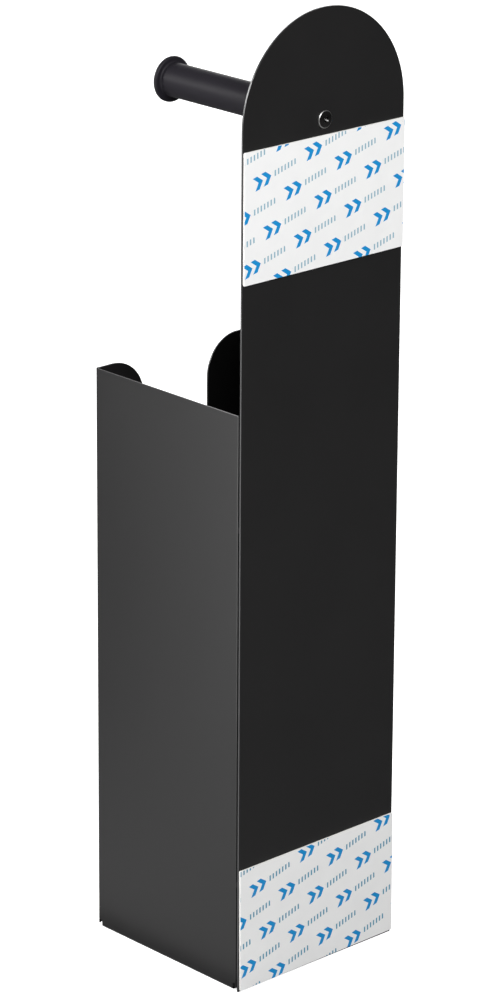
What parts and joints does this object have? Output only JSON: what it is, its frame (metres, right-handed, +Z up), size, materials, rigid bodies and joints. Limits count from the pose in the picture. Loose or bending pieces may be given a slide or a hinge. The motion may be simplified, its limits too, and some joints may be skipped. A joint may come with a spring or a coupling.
{
  "type": "toilet paper holder",
  "caption": "Self-adhesive wall holder of folded black sheet steel: round-topped back plate, flanged roll arm and a tall slotted box below it for spare rolls.",
  "frame": {"origin": "centre of the whole holder's box in X and Y, at the flat underside that it can stand on", "axes": "+Z up along the back plate, +Y towards the wall, -Y towards the user, along the roll arm"},
  "size_m": [0.13, 0.1362, 0.604],
  "materials": {
    "powder_coat": "fine-textured matte black powder coat",
    "anodised_black": "satin black anodised",
    "plug_aluminium": "plain machined",
    "black_screw": "black zinc-plated steel",
    "foam": "closed-cell foam",
    "release_liner": "printed glassine release paper"
  },
  "bodies": {
    "holder": {"back_plate": "powder_coat", "storage_box": "powder_coat", "tack_weld_right_lower": "powder_coat", "tack_weld_right_upper": "powder_coat", "tack_weld_left_lower": "powder_coat", "tack_weld_left_upper": "powder_coat", "fixing_screw": "black_screw", "upper_foam_pad": "foam", "upper_release_liner": "release_liner", "lower_foam_pad": "foam", "lower_release_liner": "release_liner"},
    "arm": {"arm_tube": "anodised_black", "arm_end_cap": "anodised_black", "arm_plug": "plug_aluminium"}
  },
  "joints": [
    {"name": "arm_turn", "type": "hinge", "parent": "holder", "child": "arm", "pos_m": [0, 0.0651, 0.537], "axis": [0, 1, 0], "continuous": true}
  ]
}
